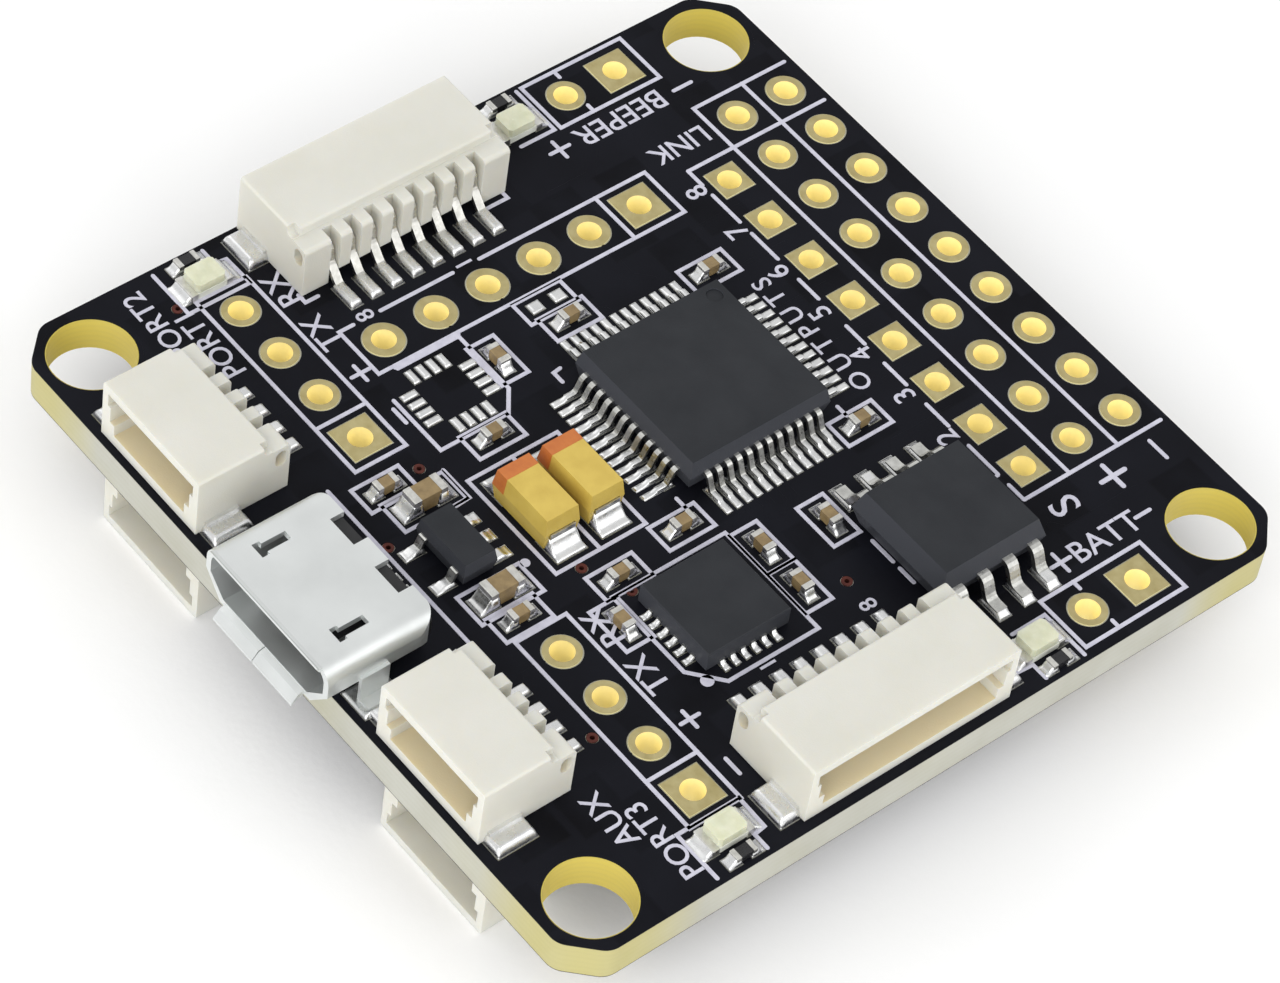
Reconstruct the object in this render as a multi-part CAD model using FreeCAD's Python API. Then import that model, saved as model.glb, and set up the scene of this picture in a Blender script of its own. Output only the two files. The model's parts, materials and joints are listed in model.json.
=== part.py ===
"""Flight controller board for a small multirotor: one circuit board with its soldered parts.

Frame: origin at the centre of the four stack holes on the board's underside, +Z up out of the
component side, -Y towards the USB edge, +Y towards the servo and motor header edge. Millimetres.
"""
import FreeCAD, Part
import math
import os

from FreeCAD import Vector

os.makedirs("parts", exist_ok=True)

# ---------------------------------------------------------------- driving dimensions
BOARD = 35.0               # side of the square board
BOARD_THICK = 1.6
CORNER_CUT = 1.4           # 45 degree cut at each corner
CORNER_ROUND = 0.9
HOLE_SPACING = 30.5        # standard stack pattern
HOLE_D = 3.5
MASK = 0.035               # lacquer thickness on each side
COPPER = 0.05              # plated land thickness
MASK_GAP = 0.06            # lacquer stands back from each land by this much
HOLE_BARE = 0.22           # and from the edge of each stack hole

PITCH = 2.54               # pin header pitch
DRILL_D = 1.1              # drilled hole of a header pad
BORE_D = 1.0               # plated hole of a header pad
MOTOR_PADS = (1.52, 1.44)  # round pad diameter and square pad side of each kind of header
GROUND_PADS = (1.58, 1.58)
RECEIVER_PADS = (1.68, 1.76)
SERIAL_PADS = (1.52, 1.74)
EDGE_PADS = (1.54, 1.76)
VIA_DRILL = 0.30           # drilled, plated and outer diameters of a through connection
VIA_BORE = 0.20
VIA_FLAT = 0.46

TOP = BOARD_THICK + MASK   # lacquer surface that the parts stand on
LAND_TOP = BOARD_THICK + COPPER

# header pad rows
MOTOR_X = -8.73            # first of eight motor columns
SIGNAL_Y = 11.08
BOOT_X = -11.27
RECEIVER_X = -9.67
RECEIVER_Y = -5.52
SERIAL_Y = -9.24
SERIAL_ONE_X = -13.89
SERIAL_THREE_X = 6.06
EDGE_PAIR_Y = 8.45
BATTERY_X = 15.68
BUZZER_X = -15.95

# integrated circuits: centre of each footprint
PROCESSOR = (-0.65, 2.92)
GYRO = (7.78, -3.42)
FLASH = (10.0, 6.2)
REGULATOR = (0.22, -9.70)
SPARE_SENSOR = (-6.12, -5.02)
SPARE_REACH = 1.42         # from its centre to the middle of each land
SPARE_LAND = (0.72, 0.32)
TANTALUMS = ((0.40, -3.95), (0.40, -6.10))

# wire-to-board ports, 1.0 mm pitch: port name, centre of the back wall, mouth direction, ways, side
PORTS = (
    ("front_left", (-8.90, -12.95), 0, 4, "top"),
    ("front_right", (8.19, -12.95), 0, 4, "top"),
    ("under_left", (-8.50, -12.95), 0, 4, "underside"),
    ("under_right", (9.00, -12.95), 0, 4, "underside"),
    ("left", (-13.15, -1.86), -90, 8, "top"),
    ("right", (12.85, -1.82), 90, 8, "top"),
)
PORT_DEPTH = 4.25
PORT_HEIGHT = 2.9
PORT_PITCH = 1.0
PORT_SIDE = 1.5            # from the last contact to the outer side wall
PORT_WALL = 0.5
PORT_FLOOR = 0.50
PORT_SEAT = 0.05           # housing stands this far off the lacquer
PORT_ROOF = 0.42
PORT_CAVITY = 3.1
PORT_COMB = 0.85           # depth of the lower strip along the back, cut into columns
PORT_LEDGE = 0.45          # that strip's drop below the roof
COLUMN_FOOT = 0.55         # the columns end this far above the housing's foot
COLUMN_ROUND = 0.20
COMB_DEPTH = 0.70
COMB_SLOT = 0.46
CONTACT_W = 0.36
CONTACT_T = 0.18
CONTACT_DROP = -0.36       # where the contact turns down behind the back wall
CONTACT_KNEE = 0.95        # height at which it starts to slope outward
CONTACT_HEEL = 0.40        # where it lands
CONTACT_TOE = 1.45
CONTACT_LAND = (0.93, 1.34) # middle and length of its land, behind the back wall
POCKET_RADIUS = 0.26       # round-ended pockets in the housing's side walls
BLADE_Z = 1.55
ANCHOR_BACK = 1.15         # from the mouth to the middle of each anchor
ANCHOR_LENGTH = 1.5

USB_X = -0.1
USB_BACK = -13.3
USB_FRONT = -18.3
USB_HALF = 3.7
USB_BOTTOM_HALF = 2.75
USB_HEIGHT = 2.55
USB_SHEET = 0.28
USB_SEAT = 0.06
USB_LIP = 0.55
USB_BROW = 0.75            # radius along the shell's upper edges
USB_CORNER = 0.80          # radius of its rear corners, seen from above
USB_LEG_Y = -16.2
USB_LEG = (0.16, 1.3, 1.4) # thickness, length and height of a shell leg
USB_TONGUE = (3.7, 3.4, 0.62)
USB_PITCH = 0.65           # contacts
USB_PIN = 0.28             # contact width

# ceramic capacitors 1.0 x 0.5, centre and whether the long side runs along Y
SMALL_CAPS = (
    (-5.42, 7.30, True), (3.87, 7.20, True), (-6.52, 1.15, True), (-6.40, -2.52, False),
    (-3.52, -5.00, True), (3.97, -1.80, True), (6.85, 3.05, False), (6.45, 0.08, False),
    (8.70, 0.08, False), (4.52, -5.28, True), (6.32, -6.62, False), (-3.72, -10.0, True),
    (3.95, -9.58, True),
)
BARE_PAIR = (-7.72, 0.95)  # lands left empty beside the receiver header
LARGE_CAPS = ((-2.42, -9.15), (2.67, -9.48))
LEDS = ((-15.80, -9.60), (15.85, -9.60), (-15.62, 5.55), (15.85, 5.60))
LED_RESISTORS = ((-16.95, -9.60), (16.95, -9.60), (-16.90, 5.75), (16.95, 5.80))
UNDER_RESISTORS = (
    (-6.2, 6.4, True), (-5.0, 6.4, True), (-3.8, 6.4, True), (-2.6, 6.4, True),
    (2.4, 6.4, True), (3.6, 6.4, True), (4.8, 6.4, True), (11.9, 1.4, False), (11.9, 0.1, False),
    (-12.6, 6.2, True), (4.6, -6.4, False), (4.6, -7.7, False),
)
UNDER_CAPS = ((-1.9, -1.6, False), (1.4, -1.6, False), (-5.9, 2.4, True), (4.9, 2.4, True))
CRYSTAL = (-0.4, 2.6)
UNDER_TRANSISTORS = ((-13.2, 9.6), (12.6, -5.4))
UNDER_DIODE = (12.6, 8.2)
VIAS = ((9.50, 1.72), (-3.80, -8.32), (-1.42, -11.60), (9.78, -10.80), (3.40, -6.20),
        (5.30, -5.32), (-15.30, -11.20))

lands_top = []             # (x, y, length x, length y) of every land on the component side
lands_under = []


# ---------------------------------------------------------------- helpers
def block(x, y, z, lx, ly, lz):
    """A box centred on x, y that rises from z."""
    return Part.makeBox(lx, ly, lz, Vector(x - lx / 2, y - ly / 2, z))


def post(x, y, z, radius, height):
    return Part.makeCylinder(radius, height, Vector(x, y, z), Vector(0, 0, 1))


def prism(points, along):
    """A closed outline extruded along a vector."""
    outline = [Vector(*p) for p in points]
    face = Part.Face(Part.makePolygon(outline + outline[:1]))
    return face.extrude(Vector(*along))


def placed(shape, x, y, z=0.0, turn=0.0):
    """A copy turned about Z by turn degrees and then moved."""
    copy = shape.copy()
    copy.rotate(Vector(0, 0, 0), Vector(0, 0, 1), turn)
    copy.translate(Vector(x, y, z))
    return copy


def turned_point(x, y, turn):
    angle = math.radians(turn)
    return (x * math.cos(angle) - y * math.sin(angle), x * math.sin(angle) + y * math.cos(angle))


def add_land(side, x, y, lx, ly):
    (lands_top if side == "top" else lands_under).append((round(x, 4), round(y, 4), lx, ly))


def write(name, shapes):
    """One node: its separate solids in one STEP file."""
    solids = []
    for shape in shapes:
        solids.extend(shape.Solids)
    bad = [i for i, s in enumerate(solids) if not s.isValid() or s.Volume <= 0]
    if bad:
        raise ValueError(f"{name}: solids {bad} are not valid")
    Part.makeCompound(solids).exportStep(f"parts/{name}.step")
    print(name, len(solids), round(sum(s.Volume for s in solids), 3))


def row(x, y, step_x, step_y, count):
    return [(x + step_x * i, y + step_y * i) for i in range(count)]


# ---------------------------------------------------------------- header pads
def header_rows():
    """Each header's pads: node name to (positions, indices of the square pads, pad sizes)."""
    def motors(y):
        return row(MOTOR_X, y, PITCH, 0, 8)

    pair = EDGE_PAIR_Y + PITCH
    return {
        "signal_row_pads": (motors(SIGNAL_Y), range(8), MOTOR_PADS),
        "power_row_pads": (motors(SIGNAL_Y + PITCH), (), MOTOR_PADS),
        "ground_row_pads": (motors(SIGNAL_Y + 2 * PITCH), (), GROUND_PADS),
        "boot_pads": (row(BOOT_X, SIGNAL_Y + PITCH, 0, PITCH, 2), (), GROUND_PADS),
        "receiver_header_pads": (row(RECEIVER_X, RECEIVER_Y, 0, PITCH, 6), (5,), RECEIVER_PADS),
        "serial_one_pads": (row(SERIAL_ONE_X, SERIAL_Y, PITCH, 0, 4), (3,), SERIAL_PADS),
        "serial_three_pads": (row(SERIAL_THREE_X, SERIAL_Y, PITCH, 0, 4), (3,), SERIAL_PADS),
        "battery_pads": (((BATTERY_X, EDGE_PAIR_Y), (BATTERY_X, pair)), (1,), EDGE_PADS),
        "buzzer_pads": (((BUZZER_X, EDGE_PAIR_Y), (BUZZER_X, pair)), (1,), EDGE_PADS),
    }


def plate(x, y, z, square, sizes, grow, thick):
    """The flat of a header pad, or with grow its opening in the lacquer."""
    diameter, side = sizes
    if square:
        return block(x, y, z, side + 2 * grow, side + 2 * grow, thick)
    return post(x, y, z, diameter / 2 + grow, thick)


def plated_hole(x, y, square, sizes):
    """A plated hole: the two flats and the barrel that joins them."""
    solid = plate(x, y, BOARD_THICK, square, sizes, 0, COPPER)
    barrel = post(x, y, 0, DRILL_D / 2, BOARD_THICK)
    under = plate(x, y, -COPPER, square, sizes, 0, COPPER)
    bore = post(x, y, -1, BORE_D / 2, BOARD_THICK + 2)
    return solid.fuse([barrel, under]).cut(bore)


def via(x, y):
    body = post(x, y, 0, VIA_DRILL / 2, BOARD_THICK)
    flats = [post(x, y, z, VIA_FLAT / 2, COPPER) for z in (-COPPER, BOARD_THICK)]
    return body.fuse(flats).cut(post(x, y, -1, VIA_BORE / 2, BOARD_THICK + 2))


# ---------------------------------------------------------------- board and lacquer
def outline_solid(z, thick):
    """The board's outline: a square with its corners cut and the cut's ends rounded."""
    h = BOARD / 2
    c = h - CORNER_CUT
    ring = [(c, -h), (h, -c), (h, c), (c, h), (-c, h), (-h, c), (-h, -c), (-c, -h)]
    solid = prism([(x, y, z) for x, y in ring], (0, 0, thick))
    upright = [e for e in solid.Edges if abs(e.Vertexes[0].Z - e.Vertexes[-1].Z) > thick / 2]
    return solid.makeFillet(CORNER_ROUND, upright)


def stack_holes(z, height, bare=0.0):
    s = HOLE_SPACING / 2
    return [post(x, y, z, HOLE_D / 2 + bare, height) for x in (-s, s) for y in (-s, s)]


def make_board():
    core = outline_solid(0, BOARD_THICK)
    holes = stack_holes(-1, BOARD_THICK + 2)
    for points, _, _ in header_rows().values():
        holes += [post(x, y, -1, DRILL_D / 2, BOARD_THICK + 2) for x, y in points]
    holes += [post(x, y, -1, VIA_DRILL / 2, BOARD_THICK + 2) for x, y in VIAS]
    return core.cut(holes)


def make_mask(side):
    """One lacquer coat, open round every land, pad and hole on its side."""
    z = BOARD_THICK if side == "top" else -MASK
    coat = outline_solid(z, MASK)
    low, tall = z - 1, MASK + 2
    openings = stack_holes(low, tall, HOLE_BARE)
    for points, squares, sizes in header_rows().values():
        for i, (x, y) in enumerate(points):
            openings.append(plate(x, y, low, i in squares, sizes, MASK_GAP, tall))
    openings += [post(x, y, low, VIA_FLAT / 2 + MASK_GAP / 2, tall) for x, y in VIAS]
    for x, y, lx, ly in lands_top if side == "top" else lands_under:
        openings.append(block(x, y, low, lx + MASK_GAP, ly + MASK_GAP, tall))
    return coat.cut(openings)


def make_land(side, x, y, lx, ly):
    return block(x, y, BOARD_THICK if side == "top" else -COPPER, lx, ly, COPPER)


# ---------------------------------------------------------------- leaded packages
def moulded_body(lx, ly, bottom, height, draft, edge=0.0):
    """A moulded package: its walls lean in above and below the mould line at half height."""
    middle = bottom + height / 2
    halves = []
    for z, lean in ((bottom, height / 2), (bottom + height, -height / 2)):
        ends = []
        for level, inset in ((middle, 0.0), (z, draft)):
            a, b = lx / 2 - inset, ly / 2 - inset
            ring = [Vector(-a, -b, level), Vector(a, -b, level), Vector(a, b, level), Vector(-a, b, level)]
            ends.append(Part.makePolygon(ring + ring[:1]))
        halves.append(Part.makeLoft(ends, True, True))
    body = halves[0].fuse(halves[1])
    if edge:
        rim = [e for e in body.Edges if min(v.Z for v in e.Vertexes) > bottom + height - 1e-6]
        body = body.makeChamfer(edge, rim)
    return body


def bent_strip(line, thick):
    """Closed outline of a strip of sheet bent along a centre line of (a, b) points."""
    left, right = [], []
    for i, (a, b) in enumerate(line):
        runs = [(line[k], line[k + 1]) for k in (i - 1, i) if 0 <= k < len(line) - 1]
        na = nb = 0.0
        for (a0, b0), (a1, b1) in runs:
            size = math.hypot(a1 - a0, b1 - b0) * len(runs)
            na += (b0 - b1) / size
            nb += (a1 - a0) / size
        reach = thick / 2 / (na * na + nb * nb)
        left.append((a + na * reach, b + nb * reach))
        right.append((a - na * reach, b - nb * reach))
    return left + right[::-1]


def eased(line, radius, steps=3):
    """The same line with each inner corner rounded by a short curve."""
    points = [line[0]]
    for before, here, after in zip(line, line[1:], line[2:]):
        ends = []
        for other in (before, after):
            size = math.hypot(other[0] - here[0], other[1] - here[1])
            share = min(radius, size * 0.45) / size
            ends.append([h + (o - h) * share for h, o in zip(here, other)])
        for k in range(steps + 1):
            t = k / steps
            points.append(tuple((1 - t) ** 2 * a + 2 * t * (1 - t) * h + t * t * b
                                for a, h, b in zip(ends[0], here, ends[1])))
    return points + [line[-1]]


def gull_wing(inner, tip, shoulder, width, thick=0.15, foot=0.55):
    """A bent lead lying along +X: out of the body, down, and flat on its land."""
    ground = LAND_TOP + thick / 2
    level = TOP + shoulder
    heel = tip - foot
    knee = inner + (heel - inner) * 0.45
    line = eased([(inner, level), (knee, level), (heel, ground), (tip, ground)], thick * 1.3)
    return prism([(x, -width / 2, z) for x, z in bent_strip(line, thick)], (0, width, 0))


def lead_side(lead, centre, turn, offsets, side="top", land=None):
    """Copies of one lead along one side of a package; land is (centre distance, length, width)."""
    made = []
    for offset in offsets:
        dx, dy = turned_point(0, offset, turn)
        piece = placed(lead, centre[0] + dx, centre[1] + dy, 0, turn)
        made.append(piece)
        if land:
            reach, length, width = land
            x, y = turned_point(reach, offset, turn)
            along_x = turn % 180 == 0
            size = (length, width) if along_x else (width, length)
            add_land(side, centre[0] + x, centre[1] + y, *size)
    return made


def spaced(count, pitch):
    return [pitch * (i - (count - 1) / 2) for i in range(count)]


def make_processor():
    """Quad flat pack: 7 mm body, twelve leads a side at 0.5 mm."""
    side, pitch = 7.0, 0.5
    body = moulded_body(side, side, TOP + 0.10, height=1.42, draft=0.16)
    dimple_at = side / 2 - 0.75
    dimple = post(-dimple_at, dimple_at, TOP + 1.45, 0.35, 1)
    body = placed(body.cut(dimple), *PROCESSOR)
    lead = gull_wing(side / 2 - 0.05, 4.5, shoulder=0.80, width=0.24, thick=0.14, foot=0.5)
    leads = []
    for turn in (0, 90, 180, 270):
        leads += lead_side(lead, PROCESSOR, turn, spaced(12, pitch), land=(4.40, 1.45, 0.30))
    return [body], leads


def make_gyro():
    """Leadless square pack, 4 mm, six terminals a side."""
    side, pitch, height = 4.0, 0.5, 0.90
    body = block(0, 0, TOP + 0.05, side, side, height)
    rim = [e for e in body.Edges if min(v.Z for v in e.Vertexes) > TOP + height]
    body = placed(body.makeChamfer(0.05, rim), *GYRO)
    skin = 0.06
    terminal = block((side + skin) / 2, 0, LAND_TOP, skin, 0.24, 0.22)
    pads = []
    for turn in (0, 90, 180, 270):
        pads += lead_side(terminal, GYRO, turn, spaced(6, pitch), land=(2.08, 0.72, 0.28))
    return [body], pads


def make_flash():
    """Wide small-outline pack, eight leads at 1.27 mm."""
    side, pitch = 5.25, 1.27
    body = placed(moulded_body(side, side, TOP + 0.12, height=1.80, draft=0.30), *FLASH)
    lead = gull_wing(side / 2 - 0.08, 3.98, shoulder=1.02, width=0.50, thick=0.24, foot=0.70)
    leads = []
    for turn in (0, 180):
        leads += lead_side(lead, FLASH, turn, spaced(4, pitch), land=(3.62, 1.25, 0.62))
    return [body], leads


def make_regulator():
    """Five-lead voltage regulator: three leads on one side, two on the other."""
    pitch = 0.95
    body = placed(moulded_body(2.9, 1.6, TOP + 0.08, height=1.10, draft=0.10), *REGULATOR)
    lead = gull_wing(0.76, 1.40, shoulder=0.60, width=0.38, thick=0.13, foot=0.35)
    land = (1.32, 0.95, 0.55)
    leads = lead_side(lead, REGULATOR, 90, spaced(3, pitch), land=land)
    leads += lead_side(lead, REGULATOR, 270, (-pitch, pitch), land=land)
    return [body], leads


# ---------------------------------------------------------------- two-ended parts
def chip(x, y, along_y, length, width, height, end, side="top"):
    """A ceramic part between two metal end caps: (body, [caps])."""
    base = LAND_TOP
    body = block(0, 0, base + 0.01, length - 2 * end, width - 0.03, height - 0.03)
    caps = []
    for sign in (-1, 1):
        cap = block(sign * (length - end) / 2, 0, base, end, width, height)
        outer = [e for e in cap.Edges if e.Length > 0.2 and
                 all(abs(v.X - sign * length / 2) < 1e-6 for v in e.Vertexes)]
        caps.append(cap.makeFillet(0.05, outer))
    turn = 90 if along_y else 0
    shapes = [placed(s, x, y, 0, turn) for s in [body] + caps]
    if side != "top":
        shapes = [placed_under(s, x, y) for s in shapes]
    return shapes[0], shapes[1:]


def placed_under(shape, x, y):
    """Mirror a seated piece to the underside without moving it in plan."""
    copy = shape.copy()
    copy.rotate(Vector(x, y, BOARD_THICK / 2), Vector(0, 1, 0), 180)
    return copy


def chip_lands(side, x, y, along_y, reach, length, width):
    for sign in (-1, 1):
        if along_y:
            add_land(side, x, y + sign * reach, width, length)
        else:
            add_land(side, x + sign * reach, y, length, width)


def make_chips(places, length, width, height, end, reach, land, side="top"):
    """Many equal two-ended parts and their lands."""
    bodies, caps = [], []
    for x, y, along_y in places:
        body, ends = chip(x, y, along_y, length, width, height, end, side)
        bodies.append(body)
        caps += ends
        chip_lands(side, x, y, along_y, reach, *land)
    return bodies, caps


def make_tantalums():
    """Two moulded capacitors lying side by side, each with a painted band and folded terminals."""
    length, width, height = 3.2, 1.68, 1.60
    base, lean, paint = TOP + 0.05, 0.10, 0.01
    band_width = 0.68
    tab_width, tab_height, tab_sheet = 1.2, 0.85, 0.12
    bodies, bands, terminals = [], [], []
    for x, y in TANTALUMS:
        moulding = moulded_body(length, width, base, height, lean)
        outer = moulded_body(length + 2 * paint, width + 2 * paint, base - paint, height + 2 * paint, lean)
        zone = block((band_width - length) / 2, 0, base + height / 2, band_width, 2 * width, height)
        band = outer.common(zone).cut(moulding)
        notch = [block(s * length / 2, 0, base - 1, 0.5, tab_width + 0.04, 1 + tab_height) for s in (-1, 1)]
        bodies.append(placed(moulding.cut(notch), x, y))
        bands.append(placed(band, x, y))
        for sign in (-1, 1):
            foot = block(sign * (length - 0.25) / 2, 0, LAND_TOP, 0.25, tab_width, tab_sheet)
            wall = block(sign * length / 2, 0, LAND_TOP, tab_sheet, tab_width, tab_height)
            terminals.append(placed(foot.fuse(wall), x, y))
        chip_lands("top", x, y, False, 1.68, 1.35, 1.45)
    return bodies, bands, terminals


def make_leds():
    """Status lights: a white base, a milky lens on it and two wrapped ends."""
    length, width, base_height, end = 2.0, 1.15, 0.32, 0.32
    bases, lenses, ends = [], [], []
    for x, y in LEDS:
        base, caps = chip(x, y, True, length, width, base_height, end)
        dome = block(0, 0, LAND_TOP + base_height - 0.03, width - 0.08, length - 2 * end, 0.42)
        upright = [e for e in dome.Edges if abs(e.Vertexes[0].Z - e.Vertexes[-1].Z) > 0.3]
        dome = dome.makeChamfer(0.12, upright)
        bases.append(base)
        lenses.append(placed(dome, x, y))
        ends += caps
        chip_lands("top", x, y, True, 1.02, 0.75, 1.15)
    return bases, lenses, ends


# ---------------------------------------------------------------- wire-to-board ports
def oval(x, y, low, high, radius, depth):
    """An upright round-ended pocket cut sideways into a wall."""
    cut = block(x, y, low + radius, depth, 2 * radius, high - low - 2 * radius)
    ends = [Part.makeCylinder(radius, depth, Vector(x - depth / 2, y, z), Vector(1, 0, 0))
            for z in (low + radius, high - radius)]
    return cut.fuse(ends)


def port_half(ways):
    return PORT_PITCH * (ways - 1) / 2 + PORT_SIDE


def port_housing(ways):
    """Shrouded side-entry housing, mouth towards -Y, back wall at y = 0, standing on z = 0."""
    half = port_half(ways)
    comb_top = PORT_HEIGHT - PORT_LEDGE
    body = block(0, -PORT_DEPTH / 2, 0, 2 * half, PORT_DEPTH, PORT_HEIGHT)
    body = body.cut(block(0, (1 - PORT_COMB) / 2, comb_top, 2 * half + 1, 1 + PORT_COMB, 1))
    crown = [e for e in body.Edges if all(v.Z > PORT_HEIGHT - 1e-6 for v in e.Vertexes)
             and max(v.Y for v in e.Vertexes) > -PORT_DEPTH + 1e-6]
    body = body.makeFillet(0.12, crown)
    brow = [e for e in body.Edges
            if all(v.Y > -1e-6 and abs(v.Z - comb_top) < 1e-6 for v in e.Vertexes)]
    body = body.makeFillet(COLUMN_ROUND, brow)

    inner = half - PORT_WALL
    roof = PORT_HEIGHT - PORT_ROOF
    cavity_y = -PORT_DEPTH + PORT_CAVITY / 2
    mouth = block(0, cavity_y, PORT_FLOOR, 2 * inner, PORT_CAVITY, roof - PORT_FLOOR)
    for sign in (-1, 1):
        mouth = mouth.cut(block(sign * (inner - 0.14), cavity_y, PORT_FLOOR, 0.28, PORT_CAVITY, 0.55))
    rails = block(0, -PORT_DEPTH + 0.9, roof - 0.62, 2 * inner + 0.36, 1.8, 0.62)
    span = PORT_PITCH * (ways - 1) + COMB_SLOT
    under = block(0, -COMB_DEPTH / 2 + 0.1, -1, span, COMB_DEPTH + 0.2, 1 + COLUMN_FOOT)
    cuts = [mouth, rails, under]
    for sign in (-1, 1):
        cuts.append(oval(sign * half, -0.42, comb_top - 1.0, comb_top - 0.20, POCKET_RADIUS, 1.40))
        cuts.append(oval(sign * half, -0.98, PORT_HEIGHT - 0.42, PORT_HEIGHT + 0.6, POCKET_RADIUS, 0.70))
    for x in spaced(ways, PORT_PITCH):
        cuts.append(block(x, -COMB_DEPTH / 2 + 0.1, -1, COMB_SLOT, COMB_DEPTH + 0.2, PORT_HEIGHT + 1))
        cuts.append(block(x, -1.0, BLADE_Z - CONTACT_T / 2, CONTACT_W, 1.2, CONTACT_T))
    return body.cut(cuts)


def port_contact(x):
    """A contact: blade in the cavity, through the back wall, down the comb, and out to its foot."""
    foot_z = LAND_TOP - TOP - PORT_SEAT + CONTACT_T / 2
    line = [
        (-PORT_DEPTH + 1.1, BLADE_Z), (CONTACT_DROP, BLADE_Z), (CONTACT_DROP, CONTACT_KNEE),
        (CONTACT_HEEL, foot_z), (CONTACT_TOE, foot_z),
    ]
    outline = [(x - CONTACT_W / 2, y, z) for y, z in bent_strip(eased(line, 0.25), CONTACT_T)]
    return prism(outline, (CONTACT_W, 0, 0))


def port_anchor(ways, sign):
    """A bent steel tab that holds the housing's front corner down."""
    half = port_half(ways)
    foot_z = LAND_TOP - TOP - PORT_SEAT
    y = -PORT_DEPTH + ANCHOR_BACK
    foot = block(sign * (half + 0.36), y, foot_z, 0.72, ANCHOR_LENGTH, 0.14)
    wall = block(sign * (half + 0.07), y, foot_z, 0.14, ANCHOR_LENGTH, 0.50)
    ear = block(sign * (half + 0.20), y, foot_z, 0.32, 0.5, 0.34)
    return foot.fuse([wall, ear]).removeSplitter()


def make_port(centre, turn, ways, side):
    """A port's housing, contacts and anchors, seated on its side of the board."""
    housing = port_housing(ways)
    contacts = [port_contact(x) for x in spaced(ways, PORT_PITCH)]
    anchors = [port_anchor(ways, sign) for sign in (-1, 1)]
    seated = []
    for shape in [housing] + contacts + anchors:
        piece = placed(shape, centre[0], centre[1], TOP + PORT_SEAT, turn)
        seated.append(piece if side == "top" else placed_under(piece, centre[0], centre[1]))
    land_y, land_length = CONTACT_LAND
    spots = [(x, land_y, 0.58, land_length) for x in spaced(ways, PORT_PITCH)]
    spots += [(s * (port_half(ways) + 0.30), -PORT_DEPTH + ANCHOR_BACK, 1.25, 1.85) for s in (-1, 1)]
    for x, y, lx, ly in spots:
        dx, dy = turned_point(x, y, turn)
        size = (lx, ly) if turn == 0 else (ly, lx)
        add_land(side, centre[0] + dx, centre[1] + dy, *size)
    return seated[0], seated[1:1 + ways], seated[1 + ways:]


# ---------------------------------------------------------------- micro USB socket
def usb_ring(inset):
    """Half-open outline of the shell's section: wide at the top, its lower corners cut in."""
    a = USB_HALF - inset
    b = USB_BOTTOM_HALF - inset * 0.7
    low = USB_SEAT + inset
    high = USB_HEIGHT - inset
    waist = USB_HEIGHT * 0.46
    return [(-b, low), (b, low), (a, waist), (a, high), (-a, high), (-a, waist)]


def usb_tube(inset, front, back):
    solid = prism([(x, front, z) for x, z in usb_ring(inset)], (0, back - front, 0))
    upper = [e for e in solid.Edges if abs(e.Length - (back - front)) < 1e-6
             and e.Vertexes[0].Z > USB_HEIGHT * 0.7]
    return solid.makeFillet(USB_BROW - inset * 0.8, upper)


def usb_flare(ends, front, reach, drop):
    """A lip that rolls out from the mouth between two X positions: a curved strip of sheet."""
    x0, x1 = ends
    outer = [(front, 0), (front - reach * 0.55, drop * 0.25), (front - reach, drop)]
    t = USB_SHEET * 0.8 * (1 if drop < 0 else -1)
    inner = [(front - reach, drop + t * 0.55), (front - reach * 0.50, drop * 0.25 + t), (front, t)]
    return prism([(x0, y, z) for y, z in outer + inner], (x1 - x0, 0, 0))


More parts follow.
